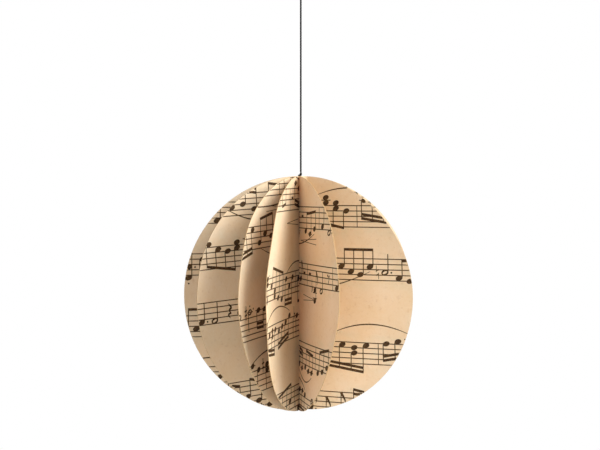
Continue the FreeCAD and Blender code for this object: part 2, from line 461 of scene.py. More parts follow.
@dataclass
class PaperDisc:
    """One round sheet, bent beside the seam into two leaves and printed on both faces."""

    stack: Stack
    number: int
    left: Leaf
    right: Leaf
    ripple: float = 0.22
    ripple_length: float = 34.0
    ripple_slant: float = 0.6
    disc_phase: float = 1.7
    leaf_phase: float = 2.4
    flat_reach: float = 2.0
    fade_length: float = 14.0
    rows: int = 45
    wide_columns: int = 52
    fine_reach: float = 4.2
    fine_step: float = 0.2

    def section(self, distance: np.ndarray, leaf: Leaf,
                plane: float) -> tuple[np.ndarray, np.ndarray]:
        """Follow one leaf's section out from the seam.

        The section is a straight strip, an arc of the bend radius that turns to the leaf's
        root heading, and a wide arc that turns by the curl until the rim. Along an arc of
        radius r the place moves by r times the difference of the two side vectors.

        Args:
            distance: lengths along the paper from the seam.
            leaf: where the leaf points.
            plane: heading of the stack on this side, in radians.

        Returns:
            Horizontal places and headings.
        """
        stack = self.stack
        root = math.radians(leaf.azimuth - leaf.curl / 2)
        turn = root - plane
        outside = min(self.number, stack.count - 1 - self.number)
        radius = stack.bend_radius + outside * stack.pitch
        bend = radius * abs(turn)
        rate = math.radians(leaf.curl) / (stack.radius - stack.strip - bend)
        offset = ((stack.count - 1) / 2 - self.number) * stack.pitch
        straight = np.clip(distance, 0, stack.strip)
        bent = plane + turn * np.clip((distance - stack.strip) / bend, 0, 1)
        curled = root + rate * np.clip(distance - stack.strip - bend, 0, None)
        place = stack.normal * offset + along(plane) * straight[..., None]
        place = place + (across(plane) - across(bent)) * (bend / turn)
        place = place + (across(root) - across(curled)) / rate
        return place, bent + curled - root

    def surface(self, x: np.ndarray, z: np.ndarray, offset: float | np.ndarray) -> np.ndarray:
        """Points of the bent sheet.

        Twist and ripple turn each point a little about the ball's axis, which keeps its
        distance from the axis: the twist grows with height, and the ripple is the sine of
        a slanting distance. Both fade out near the seam.

        Args:
            x: lengths along the sheet, negative on the left leaf seen from the front.
            z: heights above the ball's middle.
            offset: distance out of the sheet's middle towards its front.

        Returns:
            Places in millimetres, in the frame of the solids.
        """
        stack = self.stack
        plane = math.radians(stack.seam_azimuth)
        distance = np.abs(x)
        on_left = x < 0
        left_place, left_heading = self.section(distance, self.left, plane)
        right_place, right_heading = self.section(distance, self.right, plane + math.pi)
        place = np.where(on_left[..., None], left_place, right_place)
        heading = np.where(on_left, left_heading, right_heading)
        side = np.where(on_left, 1.0, -1.0)
        out = np.clip((distance - self.flat_reach) / self.fade_length, 0, 1)
        fade = out * out * (3 - 2 * out)
        twist = np.radians(np.where(on_left, self.left.twist, self.right.twist))
        phase = self.disc_phase * self.number + np.where(on_left, 0.0, self.leaf_phase)
        slanting = z + self.ripple_slant * x
        wave = np.sin(slanting * (2 * np.pi / self.ripple_length) + phase)
        turn = fade * (twist * z / stack.radius + wave * self.ripple / stack.radius)
        place = place + across(heading) * (side * offset)[..., None]
        east = place[..., 0] * np.cos(turn) - place[..., 1] * np.sin(turn)
        north = place[..., 0] * np.sin(turn) + place[..., 1] * np.cos(turn)
        return np.stack([east, north, z + stack.middle], axis=-1)

    def half_height(self, x: np.ndarray) -> np.ndarray:
        """Half the paper's height at a length along it, which a sphere round the ball cuts."""
        place = self.surface(x, np.zeros_like(x), np.zeros_like(x))
        square = self.stack.radius ** 2 - place[..., 0] ** 2 - place[..., 1] ** 2
        return np.sqrt(np.clip(square, 0, None))

    def reach(self, side: int) -> float:
        """Length along the paper from the seam to the rim at mid height.

        Args:
            side: minus one for the left leaf, one for the right.

        Returns:
            The length in millimetres.
        """
        trial = np.linspace(self.stack.radius - 1, self.stack.radius + 2, 3001)
        inside = self.half_height(side * trial) > 0
        return float(trial[inside].max())

    def columns(self) -> np.ndarray:
        """Lengths along the sheet: close together in the bends, then as the sine to each rim."""
        fine = np.arange(self.fine_step, self.fine_reach, self.fine_step)
        lengths = [np.zeros(1)]
        for side in (-1, 1):
            angles = np.linspace(0, np.pi / 2, self.wide_columns)
            wide = self.reach(side) * np.sin(angles)
            wide = wide[wide > self.fine_reach + self.fine_step / 2]
            lengths += [side * fine, side * wide]
        return np.sort(np.concatenate(lengths))

    def build(self, materials: Sequence[bpy.types.Material],
              needles: bpy.types.Object) -> bpy.types.Object:
        """Make the sheet as a closed shell: two faces and the cut rim between them.

        Args:
            materials: the paper's face and its cut edge.
            needles: rods that stand where the needle holes go.

        Returns:
            The sheet, which stands in for its solid.
        """
        x = self.columns()
        share = np.linspace(-1, 1, self.rows)
        x_grid, share_grid = np.meshgrid(x, share)
        room = self.half_height(x)
        room[[0, -1]] = 0.0
        z_grid = share_grid * room[None, :]
        half = np.full_like(x_grid, self.stack.thickness / 2)
        front = self.surface(x_grid, z_grid, half).reshape(-1, 3)
        back = self.surface(x_grid, z_grid, -half).reshape(-1, 3)
        faces = grid_quads(self.rows, len(x))
        count = len(front)
        edge = np.arange(len(x) - 1)
        low = np.stack([edge + 1, edge, edge + count, edge + 1 + count], axis=-1)
        last = (self.rows - 1) * len(x)
        high = np.stack([edge, edge + 1, edge + 1 + count, edge + count], axis=-1) + last
        quads = np.concatenate([faces, faces[:, ::-1] + count, low, high])
        slots = np.concatenate([np.zeros(2 * len(faces)), np.ones(2 * len(edge))])
        name = f"printed_disc_{self.number + 1}"
        piece = mesh_object(name, np.concatenate([front, back]), quads, materials, slots)
        close_poles(piece)
        pierce(piece, needles)
        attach(piece, "root")
        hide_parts(f"paper_disc_{self.number + 1}")
        return piece


def close_poles(piece: bpy.types.Object, gap: float = 0.002) -> None:
    """Weld the points that meet where a sheet's columns shrink to nothing.

    Args:
        piece: the sheet.
        gap: how far apart such points may lie, in millimetres.
    """
    weld = piece.modifiers.new("weld", "WELD")
    weld.merge_threshold = gap * MM
    apply_modifiers(piece)


def pierce(piece: bpy.types.Object, needles: bpy.types.Object) -> None:
    """Cut the needle holes through a sheet.

    Args:
        piece: the sheet.
        needles: rods that stand where the holes go.
    """
    cut = piece.modifiers.new("needle_holes", "BOOLEAN")
    cut.operation = "DIFFERENCE"
    cut.solver = "EXACT"
    cut.object = needles
    apply_modifiers(piece)


def apply_modifiers(piece: bpy.types.Object) -> None:
    """Swap a piece's mesh for the one that its modifiers give, and drop the modifiers.

    Args:
        piece: the piece.
    """
    graph = bpy.context.evaluated_depsgraph_get()
    finished = bpy.data.meshes.new_from_object(piece.evaluated_get(graph))
    piece.modifiers.clear()
    piece.data = finished
    finished.set_sharp_from_angle(angle=SHARP_ANGLE)


def needle_rods(stack: Stack, sides: int = 24, reach: float = 2.0) -> bpy.types.Object:
    """Round rods through the stack at each needle hole, as one mesh.

    Each rod is a circle of points carried along the stack's normal, closed by a fan of
    quads at each end.

    Args:
        stack: the sewn stack.
        sides: points round each rod.
        reach: how far each rod stands out to both sides of the stack's middle.

    Returns:
        The rods' object, which is not part of the ball.
    """
    normal = np.array([*stack.normal, 0.0])
    level = np.array([-normal[1], normal[0], 0.0])
    angle = np.linspace(0, 2 * np.pi, sides, endpoint=False)
    ring = np.outer(np.cos(angle), level) + np.outer(np.sin(angle), [0.0, 0.0, 1.0])
    ring *= stack.hole_radius
    points = []
    quads = []
    for number, height in enumerate(stack.hole_heights):
        centre = np.array([0.0, 0.0, height])
        ends = [ring + centre + normal * out for out in (-reach, reach)]
        wall = grid_quads(2, sides, closed=True)
        pairs = np.arange(1, sides - 2, 2)
        cap = np.stack([np.zeros_like(pairs), pairs, pairs + 1, pairs + 2], axis=-1)
        base = number * 2 * sides
        points.append(np.concatenate(ends))
        quads += [wall + base, cap[:, ::-1] + base, cap + sides + base]
    return mesh_object("needle_rods", np.concatenate(points), np.concatenate(quads), [])


# Print

Stroke = np.ndarray
"""Rows of x, height and half width along a pen or type mark, in millimetres."""


def bar(x: float, y: float, x_end: float, y_end: float, width: float) -> Stroke:
    """A straight mark of even width between two points."""
    return np.array([[x, y, width / 2], [x_end, y_end, width / 2]])


def curve(points: Sequence[tuple[float, float, float]], x: float = 0.0, y: float = 0.0,
          scale: float = 1.0, samples: int = 17) -> Stroke:
    """A smooth mark through rows of place and width.

    The rows are joined by a uniform cubic that passes through each of them and leaves it
    parallel to the chord between its neighbours.

    Args:
        points: rows of x, height and full width.
        x: where the mark's own origin goes.
        y: its height.
        scale: size factor for the places, not for the widths.
        samples: points of the finished mark.

    Returns:
        The stroke.
    """
    rows = np.array(points, dtype=float)
    rows[:, :2] *= scale
    rows[:, 2] /= 2
    ends = np.concatenate([rows[:1] * 2 - rows[1:2], rows, rows[-1:] * 2 - rows[-2:-1]])
    share = np.linspace(0, len(rows) - 1 - 1e-9, samples)
    whole = share.astype(int)
    t = (share - whole)[:, None]
    a, b, c, d = (ends[whole + i] for i in range(4))
    line = 0.5 * (2 * b + (c - a) * t + (2 * a - 5 * b + 4 * c - d) * t ** 2
                  + (3 * b - a - 3 * c + d) * t ** 3)
    line[:, 2] = np.clip(line[:, 2], 0.02, None)
    return line + np.array([x, y, 0.0])


def oval(x: float, y: float, long: float, short: float, tilt: float = 0.0) -> Stroke:
    """A filled ellipse, drawn along its long axis.

    Args:
        x: middle of the ellipse.
        y: height of its middle.
        long: half its length.
        short: half its width.
        tilt: angle of its long axis in radians.

    Returns:
        The stroke.
    """
    share = np.sin(np.linspace(-np.pi / 2, np.pi / 2, 11))
    width = short * np.sqrt(1 - share ** 2) + 0.01
    return np.stack([x + long * share * math.cos(tilt), y + long * share * math.sin(tilt),
                     width], axis=-1)


class Value(Enum):
    """How long a written note lasts, which decides its head, stem and flag."""

    HALF = "half"
    QUARTER = "quarter"
    EIGHTH = "eighth"


@dataclass
class Stave:
    """Five lines of made-up music, written from left to right with a seeded hand.

    Lengths are millimetres on the page. The shares and chances say how often the hand
    writes beamed groups, single notes, pairs, slurs, dots and signs.
    """

    top: float
    tilt: float
    seed: int
    space: float = 1.79
    line_width: float = 0.32
    stem_width: float = 0.32
    stem_length: float = 6.2
    head_long: float = 1.22
    head_short: float = 0.83
    head_tilt: float = 0.36
    beam_width: float = 0.9
    beam_drop: float = 1.4
    ledger_half: float = 1.9
    bar_line_width: float = 0.24
    beamed_share: float = 0.50
    single_share: float = 0.86
    pair_chance: float = 0.16
    slur_chance: float = 0.8
    dot_chance: float = 0.3
    staccato_chance: float = 0.18
    accidental_chance: float = 0.22
    plain_chance: float = 0.6
    hairpin_chance: float = 0.45
    bar_beats: float = 3.5
    start: float = -42.0
    end: float = 42.0
    strokes: list[Stroke] = field(default_factory=list)
    phrase: tuple[float, float, int] | None = None

    def height(self, step: float) -> float:
        """Height over the bottom line of a stave step, two of which make a space."""
        return step * self.space / 2

    def heads(self, x: float, steps: Sequence[int], value: Value) -> None:
        """Write the heads of a note or chord, with the ledger lines that they need.

        Args:
            x: middle of the heads.
            steps: their stave steps.
            value: half notes are open, the others are filled.
        """
        for step in steps:
            y = self.height(step)
            if value is Value.HALF:
                around = np.linspace(0.4, 0.4 + 2 * np.pi, 17)
                width = 0.20 + 0.10 * np.abs(np.sin(around - 0.4))
                tilt = 0.42
                east = (self.head_long - 0.12) * np.cos(around)
                north = (self.head_short - 0.14) * np.sin(around)
                self.strokes.append(np.stack([
                    x + east * math.cos(tilt) - north * math.sin(tilt),
                    y + east * math.sin(tilt) + north * math.cos(tilt), width], axis=-1))
            else:
                self.strokes.append(oval(x, y, self.head_long, self.head_short, self.head_tilt))
        ledgers = [s for s in range(-2, min(steps) - 1, -2)]
        ledgers += [s for s in range(10, max(steps) + 1, 2)]
        for step in ledgers:
            y = self.height(step)
            self.strokes.append(bar(x - self.ledger_half, y, x + self.ledger_half, y,
                                    self.line_width))

    def accidental(self, rng: np.random.Generator, x: float, step: int) -> None:
        """Write a sharp, a flat or a natural to the left of a head.

        Args:
            rng: the seeded hand.
            x: middle of the head.
            step: its stave step.
        """
        x -= 2.6
        y = self.height(step)
        kind = rng.integers(3)
        if kind == 0:
            for side in (-0.32, 0.32):
                self.strokes.append(bar(x + side, y - 2.3, x + side, y + 2.3, 0.18))
                self.strokes.append(bar(x - 0.8, y + side * 2.2 - 0.18, x + 0.8,
                                        y + side * 2.2 + 0.18, 0.5))
        elif kind == 1:
            self.strokes.append(bar(x - 0.5, y - 1.0, x - 0.5, y + 3.4, 0.2))
            self.strokes.append(curve([(-0.5, 0.55, 0.2), (0.15, 0.95, 0.5), (0.55, 0.4, 0.45),
                                       (-0.5, -1.0, 0.1)], x, y))
        else:
            for side in (-1, 1):
                self.strokes.append(bar(x + side * 0.4, y - 1.1 + side * -1.2,
                                        x + side * 0.4, y + 1.1 + side * -1.2, 0.18))
                self.strokes.append(bar(x - 0.4, y + side * 0.8 - 0.15, x + 0.4,
                                        y + side * 0.8 + 0.15, 0.5))

    def single(self, rng: np.random.Generator, x: float, steps: Sequence[int],
               value: Value) -> None:
        """Write one note or chord with its stem, flag and dot.

        Args:
            rng: the seeded hand.
            x: middle of the heads.
            steps: their stave steps.
            value: how long it lasts.
        """
        self.heads(x, steps, value)
        up = 1 if sum(steps) / len(steps) < 4 else -1
        near, far = (min(steps), max(steps))[::up]
        foot = self.height(near)
        tip = self.height(far) + up * self.stem_length
        stem = x + up * (self.head_long - 0.13)
        self.strokes.append(bar(stem, foot + up * 0.35, stem, tip, self.stem_width))
        if value is Value.EIGHTH:
            self.strokes.append(curve([(0, 0, 0.9), (1.0, -up * 1.7, 0.7),
                                       (1.5, -up * 3.0, 0.4), (1.1, -up * 4.4, 0.1)],
                                      stem, tip))
        if rng.random() < self.dot_chance:
            self.strokes.append(oval(x + 2.2, self.height(steps[0] | 1), 0.32, 0.32))
        if rng.random() < self.staccato_chance:
            self.strokes.append(oval(x, foot - up * 1.9, 0.3, 0.3))

    def beamed(self, rng: np.random.Generator, x: float, steps: Sequence[int],
               spacing: float, beams: int) -> None:
        """Write a group of notes under one or two beams, at times with a long slur.

        The beam follows the group's outer notes at no more than a quarter's slope, and it
        stands a stem's length from the note that comes nearest to it.

        Args:
            rng: the seeded hand.
            x: middle of the first head.
            steps: a stave step for each note.
            spacing: distance between heads.
            beams: how many beams.
        """
        up = 1 if sum(steps) / len(steps) < 4.5 else -1
        heights = np.array([self.height(s) for s in steps])
        places = x + np.arange(len(steps)) * spacing
        stems = places + up * (self.head_long - 0.13)
        slope = float(np.clip((heights[-1] - heights[0]) / (stems[-1] - stems[0]), -0.2, 0.2))
        level = (up * (heights - slope * (stems - stems[0]))).max() + self.stem_length - 0.5
        tips = up * level + slope * (stems - stems[0])
        for place, step, height, stem, tip in zip(places, steps, heights, stems, tips):
            chord = [step, step - 2 * up] if rng.random() < self.pair_chance else [step]
            self.heads(place, chord, Value.QUARTER)
            self.strokes.append(bar(stem, height + up * 0.35, stem, tip, self.stem_width))
        for number in range(beams):
            drop = -up * self.beam_drop * number
            reach = self.stem_width / 2
            self.strokes.append(bar(stems[0] - reach, tips[0] + drop - slope * reach,
                                    stems[-1] + reach, tips[-1] + drop + slope * reach,
                                    self.beam_width))
        if (self.phrase is not None and self.phrase[2] == up
                and rng.random() < self.slur_chance):
            self.slur(*self.phrase[:2], places[-1], heights[-1] - up * 1.6, -up)
            self.phrase = None
        else:
            self.phrase = (float(places[0]), float(heights[0]) - up * 1.6, up)

    def slur(self, x: float, y: float, x_end: float, y_end: float, side: int) -> None:
        """Write a slur, a bow that is thickest in its middle.

        Args:
            x: its start.
            y: height of the start.
            x_end: its end.
            y_end: height of the end.
            side: one to bow upwards, minus one downwards.
        """
        share = np.linspace(0, 1, 21)
        bow = 4 * share * (1 - share)
        rise = min(3.4, 1.0 + 0.11 * (x_end - x))
        self.strokes.append(np.stack([
            x + (x_end - x) * share, y + (y_end - y) * share + side * bow * rise,
            0.07 + 0.14 * bow], axis=-1))

    def rest(self, rng: np.random.Generator, x: float) -> None:
        """Write a quarter, eighth or half rest.

        Args:
            rng: the seeded hand.
            x: its middle.
        """
        middle = self.height(4)
        kind = rng.integers(3)
        if kind == 0:
            self.strokes.append(curve([
                (-0.55, 2.5, 0.15), (0.1, 1.7, 0.5), (0.5, 1.0, 0.8), (-0.25, 0.1, 0.6),
                (0.5, -1.0, 0.35), (-0.1, -0.9, 0.6), (-0.6, -1.4, 0.6), (0.1, -2.5, 0.1)],
                x, middle, samples=25))
        elif kind == 1:
            self.strokes.append(oval(x - 0.5, middle + 0.9, 0.42, 0.42))
            self.strokes.append(curve([(-0.6, 0.7, 0.3), (0.1, 0.45, 0.3), (0.8, 1.1, 0.25),
                                       (0.35, -0.6, 0.28), (-0.1, -1.8, 0.25)], x, middle))
        else:
            self.strokes.append(bar(x - 1.1, middle + 0.45, x + 1.1, middle + 0.45, 0.9))

    def write(self) -> list[Stroke]:
        """Write the stave.

        Returns:
            Its strokes in page coordinates.
        """
        rng = np.random.default_rng(self.seed)
        for number in range(5):
            y = number * self.space
            self.strokes.append(bar(self.start, y, self.end, y, self.line_width))
        x = self.start + rng.uniform(1, 4)
        beats = 0.0
        step = int(rng.integers(2, 7))
        while x < self.end:
            step = int(np.clip(step + rng.integers(-3, 4), -1, 10))
            turn = rng.random()
            if turn < self.beamed_share:
                count = int(rng.choice([2, 3, 4, 4]))
                walk = np.cumsum(rng.choice([-2, -1, -1, 1, 1, 2, 3, -3], size=count - 1))
                steps = np.clip(step + np.concatenate([[0], walk]), -2, 10).tolist()
                spacing = rng.uniform(3.3, 4.3)
                self.beamed(rng, x, steps, spacing, int(rng.choice([1, 1, 2])))
                x += spacing * count + 0.6
                beats += count / 2
            elif turn < self.single_share:
                if rng.random() < self.accidental_chance:
                    self.accidental(rng, x + 1.2, step)
                    x += 1.2
                chord = [step]
                if rng.random() >= self.plain_chance:
                    chord.append(step - int(rng.choice([2, 4])))
                value = Value(rng.choice(["quarter", "quarter", "half", "eighth"]))
                if value is Value.HALF:
                    chord = [step]
                self.single(rng, x, chord, value)
                x += rng.uniform(4.4, 6.2)
                beats += 1.0
            else:
                self.rest(rng, x)
                x += rng.uniform(3.6, 4.8)
                beats += 1.0
            if beats >= self.bar_beats:
                self.strokes.append(bar(x - 0.6, 0, x - 0.6, 4 * self.space,
                                        self.bar_line_width))
                x += 2.2
                beats = 0.0
        if rng.random() < self.hairpin_chance:
            self.hairpin(rng.uniform(-24, 8), rng.uniform(12, 18), rng.choice([-1, 1]))
        return [self.on_page(stroke) for stroke in self.strokes]

    def hairpin(self, x: float, length: float, way: int) -> None:
        """Write two lines that open or close under the stave.

        Args:
            x: where it starts.
            length: how long it is.
            way: one to open to the right, minus one to close.
        """
        tip, mouth = (x, x + length)[::way]
        for side in (-0.95, 0.95):
            self.strokes.append(bar(tip, -4.2, mouth, -4.2 + side, 0.2))

    def on_page(self, stroke: Stroke) -> Stroke:
        """Turn a stroke from stave to page coordinates.

        Args:
            stroke: a stroke counted from the bottom line.

        Returns:
            The same stroke, tilted and at its height on the page.
        """
        rise = stroke[:, 1] - 4 * self.space
        x = stroke[:, 0] * math.cos(self.tilt) - rise * math.sin(self.tilt)
        z = self.top + stroke[:, 0] * math.sin(self.tilt) + rise * math.cos(self.tilt)
        return np.stack([x, z, stroke[:, 2]], axis=-1)


@dataclass
class PrintedFace:
    """The music on one face of a disc, as ink that lies on the bent paper."""

    disc: PaperDisc
    face: Face
    tops: Sequence[float]
    tilt: float
    seed: int
    rise: float = 0.022
    sink: float = 0.012
    edge_gap: float = 0.03
    straight_density: float = 0.75
    curved_density: float = 2.6
    small_density: float = 6.0
    bend_density: float = 5.0
    bend_reach: float = 4.3
    small_length: float = 4.0

    def __post_init__(self) -> None:
        """Work out the disc's outline in page coordinates."""
        self.limit_x = np.linspace(-41.5, 41.5, 4151)
        self.limit_z = self.disc.half_height(self.limit_x * self.face.value)

    def on_disc(self, spots: np.ndarray) -> np.ndarray:
        """Tell which page places lie inside the disc's edge."""
        room = np.interp(spots[:, 0], self.limit_x, self.limit_z, left=-1, right=-1)
        return np.abs(spots[:, 1]) < room - self.edge_gap

    def clipped(self, stroke: Stroke) -> list[Stroke]:
        """Sample a stroke along the paper and drop what lies past the disc's edge.

        Samples stand 0.1 apart. Of these, straight, curved and small curved strokes keep as
        many to the millimetre as their densities say, and all keep more where the paper bends.

        Args:
            stroke: a stroke in page coordinates.

        Returns:
            The parts of the stroke that lie on the disc.
        """
        steps = np.hypot(np.diff(stroke[:, 0]), np.diff(stroke[:, 1]))
        run = np.concatenate([[0], np.cumsum(steps)])
        fine = np.union1d(np.arange(0, run[-1], 0.1), run)
        line = np.stack([np.interp(fine, run, stroke[:, i]) for i in range(3)], axis=-1)
        inside = self.on_disc(line)
        if not inside.any():
            return []
        usual = self.straight_density
        if len(stroke) > 2:
            small = run[-1] < self.small_length
            usual = self.small_density if small else self.curved_density
        changes = np.flatnonzero(np.diff(inside.astype(int))) + 1
        parts = []
        for piece in np.split(np.arange(len(fine)), changes):
            if inside[piece[0]] and len(piece) > 3:
                bent = np.abs(line[piece, 0]) < self.bend_reach
                density = np.where(bent, max(self.bend_density, usual), usual)
                gone = np.concatenate([[0], np.cumsum(np.diff(fine[piece]) * density[1:])])
                keep = np.diff(np.floor(gone), prepend=-1) > 0
                keep[-1] = True
                parts.append(line[piece][keep])
        return parts

    def trimmed(self, centres: np.ndarray, aside: np.ndarray) -> np.ndarray:
        """Edge points of the strokes, pulled back to the disc's edge where they pass it.

        The share of the way from the middle to the edge is found by halving nine times.

        Args:
            centres: points on the strokes' middles.
            aside: the way from each to its edge point.

        Returns:
            The edge points.
        """
        low = np.zeros(len(centres))
        high = np.ones(len(centres))
        for _ in range(9):
            middle = (low + high) / 2
            good = self.on_disc(centres + aside * middle[:, None])
            low = np.where(good, middle, low)
            high = np.where(good, high, middle)
        share = np.where(self.on_disc(centres + aside), 1.0, low)
        return centres + aside * share[:, None]

    def build(self, material: bpy.types.Material) -> bpy.types.Object:
        """Make the ink as thin closed slabs, one to a stroke.

        Each stroke's two edges stand half its width to either side of its line. The slab's
        section is a flat box from just inside the paper to just above it.

        Args:
            material: the ink.

        Returns:
            The print of this face.
        """
        strokes = []
        for number, top in enumerate(self.tops):
            stave = Stave(top=top, tilt=math.radians(self.tilt), seed=self.seed * 17 + number)
            for stroke in stave.write():
                strokes += self.clipped(stroke)
        quads = []
        count = 0
        for stroke in strokes:
            walls = grid_quads(len(stroke), 4, closed=True)[:, ::-1]
            last = 4 * (len(stroke) - 1)
            caps = np.array([[0, 1, 2, 3], [last + 3, last + 2, last + 1, last]])
            quads += [walls + count, caps + count]
            count += 4 * len(stroke)
        centres = np.concatenate([stroke[:, :2] for stroke in strokes])
        aside = np.concatenate([half_widths(stroke) for stroke in strokes])
        left = self.trimmed(centres, aside)
        right = self.trimmed(centres, -aside)
        surface = self.disc.stack.thickness / 2
        section = ((left, -self.sink), (right, -self.sink), (right, self.rise),
                   (left, self.rise))
        corners = np.stack([np.column_stack([edge, np.full(len(edge), surface + lift)])
                            for edge, lift in section], axis=1).reshape(-1, 3)
        sign = self.face.value
        points = self.disc.surface(corners[:, 0] * sign, corners[:, 1], corners[:, 2] * sign)
        name = f"print_{self.face.name.lower()}_{self.disc.number + 1}"
        piece = mesh_object(name, points, np.concatenate(quads), [material])
        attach(piece, "root")
        return piece


def half_widths(stroke: Stroke) -> np.ndarray:
    """The way from a stroke's middle to its left edge at each of its points."""
    way = np.gradient(stroke[:, :2], axis=0)
    way /= np.maximum(np.linalg.norm(way, axis=1, keepdims=True), 1e-9)
    return np.stack([-way[:, 1], way[:, 0]], axis=-1) * stroke[:, 2:3]


# Thread

@dataclass
class Yarn:
    """Twisted thread of three plies along a path."""

    radius: float = 0.30
    lay: float = 2.8
    groove: float = 0.14
    sides: int = 18
    step: float = 0.14

    def tube(self, name: str, path: np.ndarray, beside: np.ndarray,
             material: bpy.types.Material) -> bpy.types.Object:
        """Make the thread as a closed tube.

        Its section's radius dips in three grooves, and the section turns once in a lay. Each
        end closes with a fan of quads round a point.

        Args:
            name: the piece's name.
            path: points in millimetres along the thread's middle.
            beside: a vector for each point, not along the path, that the section counts from.
            material: the thread.

        Returns:
            The tube.
        """
        run = np.concatenate([[0], np.cumsum(np.linalg.norm(np.diff(path, axis=0), axis=1))])
        even = np.linspace(0, run[-1], max(8, int(run[-1] / self.step)))
        line = np.stack([np.interp(even, run, path[:, i]) for i in range(3)], axis=-1)
        side = np.stack([np.interp(even, run, beside[:, i]) for i in range(3)], axis=-1)
        way = np.gradient(line, axis=0)
        way /= np.linalg.norm(way, axis=1, keepdims=True)
        side -= way * np.sum(side * way, axis=1, keepdims=True)
        side /= np.linalg.norm(side, axis=1, keepdims=True)
        third = np.cross(way, side)
        angle = np.linspace(0, 2 * np.pi, self.sides, endpoint=False)
        turned = angle[None, :] - 2 * np.pi * even[:, None] / self.lay
        crest = np.abs(np.cos(1.5 * turned)) ** 0.7
        radius = self.radius * (1 - self.groove * (1 - crest))
        spoke = (side[:, None, :] * np.cos(angle)[None, :, None]
                 + third[:, None, :] * np.sin(angle)[None, :, None])
        rings = line[:, None, :] + spoke * radius[:, :, None]
        count = len(rings) * self.sides
        here = np.arange(0, self.sides, 2)
        beyond = (here + 2) % self.sides
        ring = count - self.sides
        foot = np.stack([np.full_like(here, count), beyond, here + 1, here], axis=-1)
        head = np.stack([np.full_like(here, count + 1), here + ring, here + 1 + ring,
                         beyond + ring], axis=-1)
        wall = grid_quads(len(rings), self.sides, closed=True)
        quads = np.concatenate([wall, foot, head])
        points = np.concatenate([rings.reshape(-1, 3), line[:1], line[-1:]])
        piece = mesh_object(name, points, quads, [material])
        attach(piece, "root")
        return piece


def knot_path(centre: np.ndarray, width: float, height: float,
              radius: float) -> tuple[np.ndarray, np.ndarray]:
    """A tight trefoil: a wave of two turns over a wave of one, three times up and down.

    Args:
        centre: middle of the knot.
        width: its outside width.
        height: its outside height.
        radius: the thread's radius in the knot.

    Returns:
        Points along the thread, and the way out of the knot at each.
    """
    turn = np.linspace(0, 2 * np.pi, 181)
    arm = (width / 2 - radius) / 3
    east = arm * (np.sin(turn) + 2 * np.sin(2 * turn))
    north = arm * (np.cos(turn) - 2 * np.cos(2 * turn))
    rise = (height / 2 - radius) * np.sin(3 * turn)
    path = np.stack([east, north, rise], axis=-1)
    return path + centre, path + np.array([1e-4, 2e-4, 3e-4])


def rounded(corners: np.ndarray, radii: Sequence[float], samples: int = 9) -> np.ndarray:
    """Straight runs with a round turn at each corner.

    Args:
        corners: rows of places in a plane.
        radii: the radius of each turn.
        samples: points in each turn.

    Returns:
        Points along the path.
    """
    rows = [corners[:1]]
    for before, corner, after, radius in zip(corners, corners[1:], corners[2:], radii):
        into = (corner - before) / np.linalg.norm(corner - before)
        out = (after - corner) / np.linalg.norm(after - corner)
        angle = np.linspace(0, np.arccos(np.clip(into @ out, -1, 1)), samples)[:, None]
        reach = radius * math.tan(angle[-1, 0] / 2)
        inward = out - into * (into @ out)
        inward /= np.linalg.norm(inward)
        first = corner - into * reach
        rows.append(first + radius * (into * np.sin(angle) + inward * (1 - np.cos(angle))))
    rows.append(corners[-1:])
    return np.concatenate(rows)


